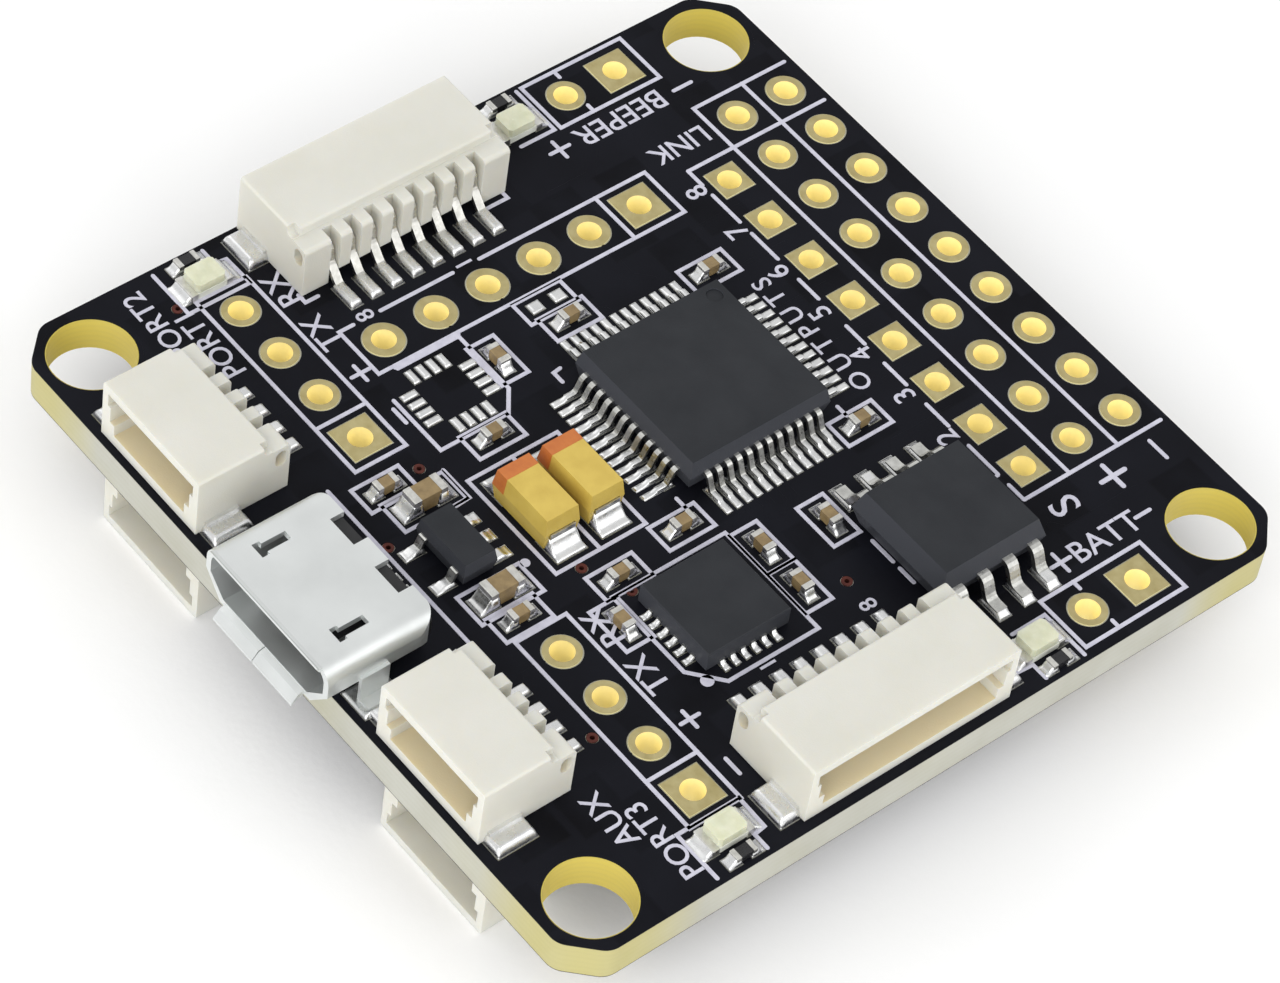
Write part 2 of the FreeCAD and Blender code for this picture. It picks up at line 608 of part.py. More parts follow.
def make_usb():
    """Shell, insulator and contacts of the USB socket, its mouth towards -Y."""
    shell = usb_tube(0, USB_FRONT, USB_BACK).cut(usb_tube(USB_SHEET, USB_FRONT - 1, USB_BACK + 1))
    cuts = []
    above = USB_HEIGHT + 1
    for x in (-2.35, 2.35):
        cuts.append(block(x, -16.30, 1, 0.42, 1.30, above))
        cuts.append(block(x, -16.90, 1, 0.70, 0.34, above))
    for x in (-1.35, 1.35):
        cuts.append(block(x, USB_BACK, USB_HEIGHT * 0.6, 1.45, 1.30, above))
    tall = USB_HEIGHT + 2
    plan = block(0, (USB_FRONT + USB_BACK) / 2, -1, 2 * USB_HALF, USB_BACK - USB_FRONT, tall)
    rear = [e for e in plan.Edges if abs(e.Length - tall) < 1e-6 and e.Vertexes[0].Y > USB_BACK - 1e-6]
    shell = shell.common(plan.makeFillet(USB_CORNER, rear)).cut(cuts)

    lips = []
    seam = 0.05
    side_from, side_to = 0.15, 1.15
    leg_sheet, leg_length, leg_height = USB_LEG
    for sign in (-1, 1):
        ends = sorted((sign * seam / 2, sign * (USB_BOTTOM_HALF - 0.35)))
        lip = usb_flare(ends, USB_FRONT, USB_LIP, -0.34)
        lip.translate(Vector(0, 0, USB_SEAT))
        lips.append(lip)
        side = usb_flare((side_from, side_to), USB_FRONT, 0.22, 0.16)
        side.rotate(Vector(0, 0, 0), Vector(0, 1, 0), -90 * sign)
        turned_down = 0 if sign > 0 else side_from + side_to
        side.translate(Vector(sign * USB_HALF, 0, USB_HEIGHT * 0.52 + turned_down))
        foot = block(sign * (USB_HALF + 0.36), USB_LEG_Y, 0, 0.74, leg_length, leg_sheet)
        leg = block(sign * (USB_HALF + 0.06), USB_LEG_Y, 0, leg_sheet, leg_length, leg_height)
        lips.append(foot.fuse(leg))
    crown = usb_flare((-USB_HALF + 0.45, USB_HALF - 0.45), USB_FRONT, 0.25, 0.14)
    crown.translate(Vector(0, 0, USB_HEIGHT))
    shell = shell.fuse(lips + [crown]).removeSplitter()

    base = usb_tube(USB_SHEET + 0.02, -14.6, USB_BACK - 0.05)
    tongue_y, tongue_z = -16.1, 1.35
    tongue = block(0, tongue_y, tongue_z, *USB_TONGUE)
    tip = tongue_y - USB_TONGUE[1] / 2
    nose = [e for e in tongue.Edges if all(v.Y < tip + 1e-6 for v in e.Vertexes) and e.Length > 3]
    tongue = tongue.makeChamfer(0.2, nose)
    insulator = base.fuse(tongue).removeSplitter()

    contacts = []
    for x in spaced(5, USB_PITCH):
        strip = block(x, tongue_y + 0.1, tongue_z - 0.12, USB_PIN, 3.0, 0.12)
        riser = block(x, USB_BACK + 0.05, LAND_TOP - TOP, USB_PIN, 0.16, 1.0)
        foot = block(x, USB_BACK + 0.40, LAND_TOP - TOP, USB_PIN, 0.86, 0.14)
        contacts += [strip, riser.fuse(foot).removeSplitter()]
        add_land("top", USB_X + x, USB_BACK + 0.55, 0.40, 1.35)
    for sign in (-1, 1):
        add_land("top", USB_X + sign * (USB_HALF + 0.15), USB_LEG_Y, 1.5, 1.9)
    seated = []
    for group in ([shell], [insulator], contacts):
        seated.append([placed(s, USB_X, 0, TOP) for s in group])
    return seated


# ---------------------------------------------------------------- underside parts
def make_crystal():
    """Ceramic-based clock crystal with a metal lid, under the processor."""
    x, y = CRYSTAL
    length, width, layer, rim_width = 3.2, 2.5, 0.35, 0.15
    base = block(x, y, LAND_TOP, length, width, layer)
    lid = block(x, y, LAND_TOP + layer, length - 2 * rim_width, width - 2 * rim_width, layer)
    rim = [e for e in lid.Edges if min(v.Z for v in e.Vertexes) > LAND_TOP + 1.9 * layer]
    lid = lid.makeFillet(0.12, rim)
    for sx in (-1, 1):
        for sy in (-1, 1):
            add_land("underside", x + sx * 1.15, y + sy * 0.90, 1.2, 1.0)
    return placed_under(base, x, y), placed_under(lid, x, y)


def make_transistors():
    """Three-lead switches on the underside: one for the buzzer, one for the supply."""
    bodies, leads = [], []
    pitch, land = 0.95, (1.10, 0.85, 0.60)
    lead = gull_wing(0.60, 1.20, shoulder=0.55, width=0.40, thick=0.12, foot=0.32)
    for x, y in UNDER_TRANSISTORS:
        body = placed(moulded_body(2.9, 1.3, TOP + 0.08, height=1.0, draft=0.10), x, y)
        bodies.append(placed_under(body, x, y))
        made = lead_side(lead, (x, y), 90, (0.0,), "underside", land)
        made += lead_side(lead, (x, y), 270, (-pitch, pitch), "underside", land)
        leads += [placed_under(piece, x, y) for piece in made]
    return bodies, leads


def make_diode():
    """Moulded two-lead diode beside the battery pads."""
    x, y = UNDER_DIODE
    body = placed(moulded_body(1.6, 2.7, TOP + 0.08, height=1.1, draft=0.10), x, y)
    lead = gull_wing(1.30, 1.85, shoulder=0.55, width=0.60, thick=0.12, foot=0.30)
    land = (1.75, 0.95, 1.0)
    made = lead_side(lead, (x, y), 90, (0.0,), "underside", land)
    made += lead_side(lead, (x, y), 270, (0.0,), "underside", land)
    return [placed_under(body, x, y)], [placed_under(piece, x, y) for piece in made]


# ---------------------------------------------------------------- build every node
def split_lands(builder):
    """Run a builder and return its result and the top and underside lands that it added."""
    top, under = len(lands_top), len(lands_under)
    result = builder()
    return result, lands_top[top:], lands_under[under:]


(processor_body, processor_leads), processor_lands, _ = split_lands(make_processor)
component_lands_from = len(lands_top)
gyro_body, gyro_terminals = make_gyro()
flash_body, flash_leads = make_flash()
regulator_body, regulator_leads = make_regulator()
tantalum_bodies, tantalum_bands, tantalum_terminals = make_tantalums()
led_bases, led_lenses, led_ends = make_leds()
small = dict(length=1.0, width=0.5, height=0.5, end=0.24, reach=0.52, land=(0.62, 0.58))
large = dict(length=1.6, width=0.82, height=0.8, end=0.34, reach=0.80, land=(0.95, 0.95))
flat = dict(length=1.0, width=0.5, height=0.36, end=0.22, reach=0.52, land=(0.62, 0.58))
cap_bodies, cap_ends = make_chips(SMALL_CAPS, **small)
large_bodies, large_ends = make_chips([(x, y, True) for x, y in LARGE_CAPS], **large)
resistor_bodies, resistor_ends = make_chips([(x, y, True) for x, y in LED_RESISTORS], **flat)
chip_lands("top", *BARE_PAIR, True, 0.55, 0.60, 0.55)
component_lands = lands_top[component_lands_from:]

spare_from = len(lands_top)
for quarter in (0, 90, 180, 270):
    for shift in spaced(4, 0.5):
        dx, dy = turned_point(SPARE_REACH, shift, quarter)
        wide = SPARE_LAND if quarter % 180 == 0 else SPARE_LAND[::-1]
        add_land("top", SPARE_SENSOR[0] + dx, SPARE_SENSOR[1] + dy, *wide)
spare_lands = lands_top[spare_from:]

under_bodies, under_ends = make_chips(UNDER_RESISTORS, **flat, side="underside")
resistor_bodies += under_bodies
resistor_ends += under_ends
under_bodies, under_ends = make_chips(UNDER_CAPS, **small, side="underside")
cap_bodies += under_bodies
cap_ends += under_ends
crystal_base, crystal_lid = make_crystal()
transistor_bodies, transistor_leads = make_transistors()
diode_body, diode_leads = make_diode()
under_component_lands = list(lands_under)

port_lands_from = (len(lands_top), len(lands_under))
all_anchors = []
for port_name, port_centre, port_turn, port_ways, port_side in PORTS:
    port_shell, port_pins, port_tabs = make_port(port_centre, port_turn, port_ways, port_side)
    write(f"{port_name}_port_housing", [port_shell])
    write(f"{port_name}_port_contacts", port_pins)
    all_anchors += port_tabs
write("port_anchors", all_anchors)
usb_shell, usb_insulator, usb_contacts = make_usb()
port_top = lands_top[port_lands_from[0]:]
port_under = lands_under[port_lands_from[1]:]

write("circuit_board", [make_board()])
write("top_solder_mask", [make_mask("top")])
write("bottom_solder_mask", [make_mask("underside")])
for node, (places, squares, pad_sizes) in header_rows().items():
    write(node, [plated_hole(x, y, i in squares, pad_sizes) for i, (x, y) in enumerate(places)])
write("open_vias", [via(x, y) for x, y in VIAS])
write("processor_lands", [make_land("top", *spot) for spot in processor_lands])
write("spare_sensor_lands", [make_land("top", *spot) for spot in spare_lands])
write("component_lands", [make_land("top", *spot) for spot in component_lands])
write("underside_lands", [make_land("underside", *spot) for spot in under_component_lands])
write("port_lands", [make_land("top", *spot) for spot in port_top] +
      [make_land("underside", *spot) for spot in port_under])
write("processor_body", processor_body)
write("processor_leads", processor_leads)
write("gyro_body", gyro_body)
write("gyro_terminals", gyro_terminals)
write("flash_memory_body", flash_body)
write("flash_memory_leads", flash_leads)
write("regulator_body", regulator_body)
write("regulator_leads", regulator_leads)
write("tantalum_bodies", tantalum_bodies)
write("tantalum_bands", tantalum_bands)
write("tantalum_terminals", tantalum_terminals)
write("small_capacitor_bodies", cap_bodies)
write("small_capacitor_ends", cap_ends)
write("large_capacitor_bodies", large_bodies)
write("large_capacitor_ends", large_ends)
write("led_bases", led_bases)
write("led_lenses", led_lenses)
write("led_ends", led_ends)
write("resistor_bodies", resistor_bodies)
write("resistor_ends", resistor_ends)
write("usb_shell", usb_shell)
write("usb_insulator", usb_insulator)
write("usb_contacts", usb_contacts)
write("crystal_base", [crystal_base])
write("crystal_lid", [crystal_lid])
write("transistor_bodies", transistor_bodies)
write("transistor_leads", transistor_leads)
write("diode_body", diode_body)
write("diode_leads", diode_leads)
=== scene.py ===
"""Looks of the flight controller board: finishes, printed legend, solder and track relief.

Everything is placed from the CAD nodes' own boxes. Lengths are millimetres until they are
written into a mesh, which is in metres.
"""
import bpy
import json
import math
import random
from mathutils import Matrix, Vector


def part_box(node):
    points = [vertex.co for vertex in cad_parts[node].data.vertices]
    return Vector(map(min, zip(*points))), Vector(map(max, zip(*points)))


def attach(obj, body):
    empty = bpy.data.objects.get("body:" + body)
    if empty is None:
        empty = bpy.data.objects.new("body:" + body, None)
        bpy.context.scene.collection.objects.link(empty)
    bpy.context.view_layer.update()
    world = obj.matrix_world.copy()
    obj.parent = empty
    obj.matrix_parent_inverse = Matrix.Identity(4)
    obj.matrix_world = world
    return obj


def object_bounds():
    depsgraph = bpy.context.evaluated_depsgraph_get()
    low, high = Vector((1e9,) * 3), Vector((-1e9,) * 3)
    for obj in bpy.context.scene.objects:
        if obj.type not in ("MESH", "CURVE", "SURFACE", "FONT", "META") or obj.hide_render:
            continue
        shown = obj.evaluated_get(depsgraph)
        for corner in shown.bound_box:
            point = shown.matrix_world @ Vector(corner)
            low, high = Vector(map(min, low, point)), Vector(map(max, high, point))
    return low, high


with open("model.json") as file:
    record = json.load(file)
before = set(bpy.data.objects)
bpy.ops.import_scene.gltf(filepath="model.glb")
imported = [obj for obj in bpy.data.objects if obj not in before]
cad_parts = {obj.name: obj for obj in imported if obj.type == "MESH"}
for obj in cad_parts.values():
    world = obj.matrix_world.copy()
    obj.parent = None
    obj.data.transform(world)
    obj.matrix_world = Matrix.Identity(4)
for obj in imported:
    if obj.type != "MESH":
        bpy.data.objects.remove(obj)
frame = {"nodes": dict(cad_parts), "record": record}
CAD_LOW, CAD_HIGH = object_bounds()
NODES = frame["nodes"]
MM = 0.001


# ---------------------------------------------------------------- reading the CAD model
class Box:
    """Extent of a node or of one of its solids, in millimetres."""

    def __init__(self, low, high):
        self.x0, self.y0, self.z0 = low
        self.x1, self.y1, self.z1 = high
        self.x, self.y = (self.x0 + self.x1) / 2, (self.y0 + self.y1) / 2
        self.wide, self.deep = self.x1 - self.x0, self.y1 - self.y0

    def meets(self, other):
        return (self.x0 < other.x1 and other.x0 < self.x1 and
                self.y0 < other.y1 and other.y0 < self.y1 and
                self.z0 < other.z1 + 0.1 and other.z0 < self.z1 + 0.1)


def node_box(name):
    low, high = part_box(name)
    return Box(low / MM, high / MM)


def solids(name):
    """One Box for each separate solid of a node."""
    mesh = NODES[name].data
    spots, keys = {}, []
    for vertex in mesh.vertices:
        key = tuple(round(c / MM, 3) for c in vertex.co)
        keys.append(spots.setdefault(key, len(spots)))
    parent = list(range(len(spots)))

    def root(i):
        while parent[i] != i:
            parent[i] = parent[parent[i]]
            i = parent[i]
        return i

    for edge in mesh.edges:
        a, b = root(keys[edge.vertices[0]]), root(keys[edge.vertices[1]])
        parent[a] = b
    groups = {}
    for point, i in spots.items():
        groups.setdefault(root(i), []).append(point)
    boxes = [Box([min(c) for c in zip(*g)], [max(c) for c in zip(*g)]) for g in groups.values()]
    return sorted(boxes, key=lambda b: (round(b.y, 2), round(b.x, 2)))


DECK = node_box("top_solder_mask").z1       # lacquer surface on the component side
KEEL = node_box("bottom_solder_mask").z0    # and on the underside
LAND_TOP = node_box("component_lands").z1
LAND_LOW = node_box("underside_lands").z0
BOARD = node_box("circuit_board")
HOLE_AT = 15.25            # stack hole axes from the middle, both ways
HOLE_RADIUS = 1.75


# ---------------------------------------------------------------- finishes
def linear(red, green, blue):
    """A linear colour from 0-255 display values."""
    def channel(v):
        v /= 255
        return v / 12.92 if v <= 0.04045 else ((v + 0.055) / 1.055) ** 2.4
    return (channel(red), channel(green), channel(blue), 1.0)


class Graph:
    """A small helper over one material's node tree."""

    def __init__(self, name):
        self.material = bpy.data.materials.new(name)
        self.material.use_nodes = True
        self.tree = self.material.node_tree
        self.shader = self.tree.nodes["Principled BSDF"]
        self.space = self.add("ShaderNodeTexCoord").outputs["Object"]

    def add(self, kind, **settings):
        node = self.tree.nodes.new(kind)
        for key, value in settings.items():
            setattr(node, key, value)
        return node

    def join(self, source, target):
        self.tree.links.new(source, target)

    def noise(self, size, detail=4.0):
        """Noise whose features are about size millimetres across."""
        node = self.add("ShaderNodeTexNoise")
        node.inputs["Scale"].default_value = 1 / (size * MM)
        node.inputs["Detail"].default_value = detail
        self.join(self.space, node.inputs["Vector"])
        return node.outputs["Fac"]

    def span(self, source, low, high, start=0.3, stop=0.7):
        """A 0-1 value spread between low and high."""
        node = self.add("ShaderNodeMapRange")
        for name, value in (("From Min", start), ("From Max", stop), ("To Min", low), ("To Max", high)):
            node.inputs[name].default_value = value
        self.join(source, node.inputs["Value"])
        return node.outputs["Result"]

    def blend(self, share, first, second):
        """Mix of two colours, either of them a colour or a node output."""
        node = self.add("ShaderNodeMix", data_type="RGBA")
        self.join(share, node.inputs["Factor"])
        for socket, value in ((node.inputs[6], first), (node.inputs[7], second)):
            if isinstance(value, tuple):
                socket.default_value = value
            else:
                self.join(value, socket)
        return node.outputs[2]

    def slope(self, axis):
        """How far the true surface faces along an axis, from 0 to 1."""
        parts = self.add("ShaderNodeSeparateXYZ")
        self.join(self.add("ShaderNodeNewGeometry").outputs["True Normal"], parts.inputs[0])
        size = self.add("ShaderNodeMath", operation="ABSOLUTE")
        self.join(parts.outputs[axis], size.inputs[0])
        return size.outputs[0]

    def relief(self, height, depth):
        """Bump of depth millimetres, chained after any bump that is already there."""
        node = self.add("ShaderNodeBump")
        node.inputs["Strength"].default_value = 1.0
        node.inputs["Distance"].default_value = depth * MM
        self.join(height, node.inputs["Height"])
        normal = self.shader.inputs["Normal"]
        if normal.links:
            self.join(normal.links[0].from_socket, node.inputs["Normal"])
        self.join(node.outputs["Normal"], normal)

    def set(self, **values):
        for name, value in values.items():
            self.shader.inputs[name.replace("_", " ")].default_value = value


GLOW_DEPTH = 0.8           # how far light travels inside the pale plastics


def finish(name, colour, other, size, rough, bump, grain, metallic=0.0, specular=0.5, coat=0.0,
           subsurface=0.0):
    """Two colours in soft patches, roughness that varies with them, and a fine relief."""
    g = Graph(name)
    patches = g.noise(size)
    g.join(g.blend(g.span(patches, 0, 1), linear(*colour), linear(*other)),
           g.shader.inputs["Base Color"])
    g.join(g.span(g.noise(size * 0.45, 5.0), *rough), g.shader.inputs["Roughness"])
    g.relief(g.noise(grain, 6.0), bump)
    g.set(Metallic=metallic, Specular_IOR_Level=specular)
    if coat:
        g.set(Coat_Weight=coat, Coat_Roughness=0.12)
    if subsurface:
        g.set(Subsurface_Weight=subsurface, Subsurface_Scale=GLOW_DEPTH * MM,
              Subsurface_Radius=(1.0, 0.8, 0.5))
    return g


def recolour(g, share, colour):
    """Blend one more colour over what the base colour already shows."""
    ground = g.shader.inputs["Base Color"].links[0].from_socket
    g.join(g.blend(share, ground, linear(*colour)), g.shader.inputs["Base Color"])


def near_holes(g, reach, far):
    """1 on the stack holes' walls, falling to 0 at far millimetres from their axes."""
    parts = g.add("ShaderNodeVectorMath", operation="ABSOLUTE")
    g.join(g.space, parts.inputs[0])
    flat = g.add("ShaderNodeVectorMath", operation="MULTIPLY")
    flat.inputs[1].default_value = (1, 1, 0)
    g.join(parts.outputs[0], flat.inputs[0])
    away = g.add("ShaderNodeVectorMath", operation="DISTANCE")
    away.inputs[1].default_value = (HOLE_AT * MM, HOLE_AT * MM, 0)
    g.join(flat.outputs[0], away.inputs[0])
    return g.span(away.outputs["Value"], 1, 0, reach * MM, far * MM)


def laminate():
    """Glass-fibre laminate: pale routed edges, yellow where the corners and holes show resin."""
    g = finish("laminate", (184, 184, 174), (174, 173, 160), 2.4, (0.46, 0.62), 0.005, 0.10)
    recolour(g, g.span(g.noise(9.0, 2.0), 0, 0.25, 0.50, 0.70), (186, 180, 124))
    recolour(g, near_holes(g, 2.0, 4.2), (184, 175, 110))
    recolour(g, near_holes(g, 1.9, 2.1), (208, 190, 86))
    layers = g.add("ShaderNodeTexWave", wave_type="BANDS", bands_direction="Z")
    layers.inputs["Scale"].default_value = 1 / (0.9 * MM)
    layers.inputs["Distortion"].default_value = 1.4
    layers.inputs["Detail"].default_value = 3.0
    g.join(g.space, layers.inputs["Vector"])
    recolour(g, g.span(layers.outputs["Fac"], 0.0, 0.07, 0.35, 1.0), (150, 144, 96))
    return g


def lacquer():
    """Black solder mask: deep, slightly blue, with faint lighter areas over buried copper."""
    g = finish("mask_lacquer", (13, 13, 17), (21, 22, 28), 2.6, (0.30, 0.44), 0.006, 0.30,
               specular=0.06)
    pours = g.add("ShaderNodeTexVoronoi", feature="F1", distance="CHEBYCHEV")
    pours.inputs["Scale"].default_value = 1 / (3.4 * MM)
    g.join(g.space, pours.inputs["Vector"])
    recolour(g, g.span(pours.outputs["Distance"], 0.0, 0.4, 0.30, 0.34), (27, 28, 35))
    g.relief(g.span(pours.outputs["Distance"], 0, 1, 0.30, 0.33), 0.008)
    return g


def gold():
    """Immersion gold: pale brushed flats, and a warmer wall inside each hole with a painted highlight
    and a painted glow.
    """
    g = finish("gold_plate", (200, 188, 140), (182, 168, 118), 0.55, (0.30, 0.46), 0.005, 0.09,
               metallic=0.92)
    wall = g.span(g.slope(2), 1, 0, 0.25, 0.75)
    # Painted highlight: the hole walls are painted pale and bright, standing in for light from below the
    # board.
    recolour(g, wall, (255, 244, 186))
    g.join(g.span(wall, 0.92, 0.40, 0, 1), g.shader.inputs["Metallic"])
    # Painted glow: the hole walls emit light, though they are no lamp.
    g.set(Emission_Color=linear(255, 238, 165))
    g.join(g.span(wall, 0, 0.16, 0, 1), g.shader.inputs["Emission Strength"])
    return g


def package():
    """Black moulding compound, with a painted highlight: lighter grey on the sloping and upright sides.
    """
    g = finish("package_resin", (37, 39, 43), (44, 46, 50), 1.8, (0.46, 0.60), 0.006, 0.055,
               specular=0.22)
    # Painted highlight: faces that turn away from straight up are painted lighter grey.
    recolour(g, g.span(g.slope(2), 0.9, 0, 0.30, 0.95), (66, 68, 74))
    return g


def nylon():
    """Cream nylon, with painted shade: tan towards the board, most of all on the faces that look up from
    inside the shrouds.
    """
    g = finish("port_nylon", (215, 214, 206), (210, 209, 199), 2.6, (0.46, 0.60), 0.006, 0.06,
               subsurface=0.30)
    parts = g.add("ShaderNodeSeparateXYZ")
    g.join(g.space, parts.inputs[0])
    away = g.add("ShaderNodeMath", operation="SUBTRACT")
    away.inputs[1].default_value = (BOARD.z0 + BOARD.z1) / 2 * MM
    g.join(parts.outputs[2], away.inputs[0])
    depth = g.add("ShaderNodeMath", operation="ABSOLUTE")
    g.join(away.outputs[0], depth.inputs[0])
    # Share of painted shade: upward faces near the board, deep in the shrouds.
    inside = g.add("ShaderNodeMath", operation="MULTIPLY")
    g.join(g.span(depth.outputs[0], 0.9, 0, 1.4 * MM, 3.0 * MM), inside.inputs[0])
    g.join(g.slope(2), inside.inputs[1])
    # Painted shade: a faint tan towards the board on every face, then a strong tan on the upward faces
    # inside.
    recolour(g, g.span(depth.outputs[0], 0.08, 0, 1.3 * MM, 3.3 * MM), (222, 206, 168))
    recolour(g, inside.outputs[0], (222, 206, 168))
    return g


def build_finishes():
    """Every record slot's material, keyed by slot name."""
    silver = dict(metallic=1.0, specular=0.5)
    made = {
        "laminate": laminate(),
        "mask_lacquer": lacquer(),
        "gold_plate": gold(),
        "bare_copper": finish("bare_copper", (100, 52, 44), (72, 38, 34), 0.4, (0.40, 0.58),
                              0.006, 0.08, metallic=0.3, specular=0.2),
        "tinned_land": finish("tinned_land", (226, 226, 224), (198, 199, 200), 0.5, (0.22, 0.42),
                              0.014, 0.16, **silver),
        "solder": finish("solder", (240, 240, 239), (218, 219, 220), 0.6, (0.20, 0.36),
                         0.006, 0.40, **silver),
        "package_resin": package(),
        "tinned_lead": finish("tinned_lead", (222, 222, 218), (188, 188, 184), 0.35, (0.24, 0.42),
                              0.008, 0.10, **silver),
        "chip_end_metal": finish("chip_end_metal", (228, 227, 222), (200, 199, 194), 0.25,
                                 (0.26, 0.46), 0.010, 0.07, **silver),
        "tantalum_resin": finish("tantalum_resin", (210, 183, 88), (198, 170, 78), 0.8,
                                 (0.34, 0.50), 0.008, 0.07, specular=0.45),
        "band_paint": finish("band_paint", (198, 116, 52), (184, 102, 46), 0.5, (0.36, 0.52),
                             0.010, 0.08),
        "capacitor_ceramic": finish("capacitor_ceramic", (152, 130, 90), (126, 106, 72), 0.4,
                                    (0.34, 0.52), 0.008, 0.05),
        "resistor_glaze": finish("resistor_glaze", (34, 34, 37), (22, 22, 25), 0.35, (0.22, 0.38),
                                 0.006, 0.06),
        "led_base": finish("led_base", (226, 228, 218), (208, 210, 200), 0.5, (0.40, 0.55),
                           0.008, 0.07),
        "led_lens": finish("led_lens", (222, 223, 198), (206, 208, 178), 0.45, (0.14, 0.28),
                           0.005, 0.10, coat=0.5, subsurface=0.35),
        "port_nylon": nylon(),
        "contact_metal": finish("contact_metal", (222, 221, 215), (194, 193, 187), 0.35,
                                (0.24, 0.42), 0.008, 0.10, **silver),
        "anchor_steel": finish("anchor_steel", (232, 232, 230), (212, 212, 210), 0.6,
                               (0.36, 0.52), 0.006, 0.20, metallic=0.8),
        "shell_steel": finish("shell_steel", (230, 233, 232), (219, 222, 221), 2.4, (0.34, 0.46),
                              0.005, 0.35, metallic=0.85),
        "socket_plastic": finish("socket_plastic", (28, 28, 30), (20, 20, 22), 0.6, (0.40, 0.55),
                                 0.008, 0.06),
        "crystal_ceramic": finish("crystal_ceramic", (150, 140, 116), (132, 122, 100), 0.5,
                                  (0.45, 0.60), 0.008, 0.05),
        "lid_metal": finish("lid_metal", (214, 213, 206), (196, 195, 188), 0.9, (0.26, 0.40),
                            0.006, 0.12, **silver),
        "legend_ink": finish("legend_ink", (206, 205, 218), (188, 187, 202), 0.35, (0.50, 0.66),
                             0.010, 0.06),
    }
    return {name: g.material for name, g in made.items()}


FINISHES = build_finishes()


def dress_nodes():
    """Give each CAD node the finish that the record names for it."""
    for part in frame["record"]["subparts"]:
        for holder in NODES[part["node"]].material_slots:
            holder.material = FINISHES[part["material_slot"]]


# ---------------------------------------------------------------- making pieces
class Shape:
    """Vertices and faces gathered for one piece, in millimetres."""

    def __init__(self):
        self.points, self.faces = [], []

    def add(self, points, faces):
        start = len(self.points)
        self.points += points
        self.faces += [[start + i for i in face] for face in faces]

    def become(self, name, slot, smooth=False):
        mesh = bpy.data.meshes.new(name)
        mesh.from_pydata([Vector(p) * MM for p in self.points], [], self.faces)
        mesh.update()
        return join_scene(mesh, name, slot, smooth)


def join_scene(mesh, name, slot, smooth=False):
    mesh.materials.clear()
    mesh.materials.append(FINISHES[slot])
    mesh.polygons.foreach_set("use_smooth", [smooth] * len(mesh.polygons))
    piece = bpy.data.objects.new(name, mesh)
    bpy.context.scene.collection.objects.link(piece)
    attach(piece, "root")
    return piece


ROUND_STEPS = 4            # slices in the rounded end of a printed line
LINE_LEAN = 0.012          # a line's top is this much narrower than its foot on each side


def stations(path, width, closed):
    """Places along a line: centre, sideways reach, half width at the foot."""
    places = []
    count = len(path)
    for i, point in enumerate(path):
        here = Vector(point)
        ahead = Vector(path[(i + 1) % count]) - here if closed or i < count - 1 else None
        behind = here - Vector(path[i - 1]) if closed or i > 0 else None
        headings = [d.normalized() for d in (behind, ahead) if d is not None]
        sides = [Vector((-d.y, d.x)) for d in headings]
        mitre = sum(sides, Vector((0, 0))) / len(sides)
        mitre /= max(mitre.length_squared, 0.25)
        places.append((here, mitre, width / 2, headings[0]))
    if closed:
        return [(p, m, w) for p, m, w, _ in places] + [places[0][:3]]
    body = [(p, m, w) for p, m, w, _ in places]
    first, last = places[0], places[-1]
    head, tail = [], []
    for step in range(1, ROUND_STEPS + 1):
        angle = math.radians(84) * step / ROUND_STEPS
        reach, half = math.sin(angle) * width / 2, math.cos(angle) * width / 2
        head.insert(0, (first[0] - first[3] * reach, first[1], half))
        tail.append((last[0] + last[3] * reach, last[1], half))
    return head + body + tail


def draw_line(shape, path, width, z, height, closed=False):
    """A raised line with mitred corners and round ends, standing on z."""
    slices = stations(path, width, closed)
    points, faces = [], []
    for centre, side, half in slices:
        for across, level in ((half, z), (max(half - LINE_LEAN, half * 0.5), z + height),
                              (-max(half - LINE_LEAN, half * 0.5), z + height), (-half, z)):
            spot = centre + side * across
            points.append((spot.x, spot.y, level))
    for i in range(len(slices) - 1):
        a, b = 4 * i, 4 * (i + 1)
        for k in range(4):
            faces.append((a + k, a + (k + 1) % 4, b + (k + 1) % 4, b + k))
    if not closed:
        end = 4 * (len(slices) - 1)
        faces += [(3, 2, 1, 0), (end, end + 1, end + 2, end + 3)]
    shape.add(points, faces)


# ---------------------------------------------------------------- printed legend
INK_Z = DECK - 0.002
INK_HEIGHT = 0.022
INK_LIFT = 0.0015          # crossing lines print at slightly different heights
LINE = 0.18                # width of a printed line
LETTER = 1.02              # height of capitals
CAPITAL_SHARE = 0.73       # of the built-in font's size
SWELL = 0.008              # letters print this much bolder than the built-in font
SMALL_LETTER = 0.92        # height of the ports' names
PORT_NAME_SPOTS = {"PORT1": (-13.2, -11.25), "PORT2": (-15.0, -12.35),
                   "PORT3": (14.8, -11.55), "AUX": (13.0, -12.60)}
RIGHT_PORT_ENDS = {"8": (10.80, 1.65), "1": (10.85, -3.30)}
EMPTY_PAIR = (-8.30, -0.30, -7.08, 2.05)  # box round the two bare lands beside the processor

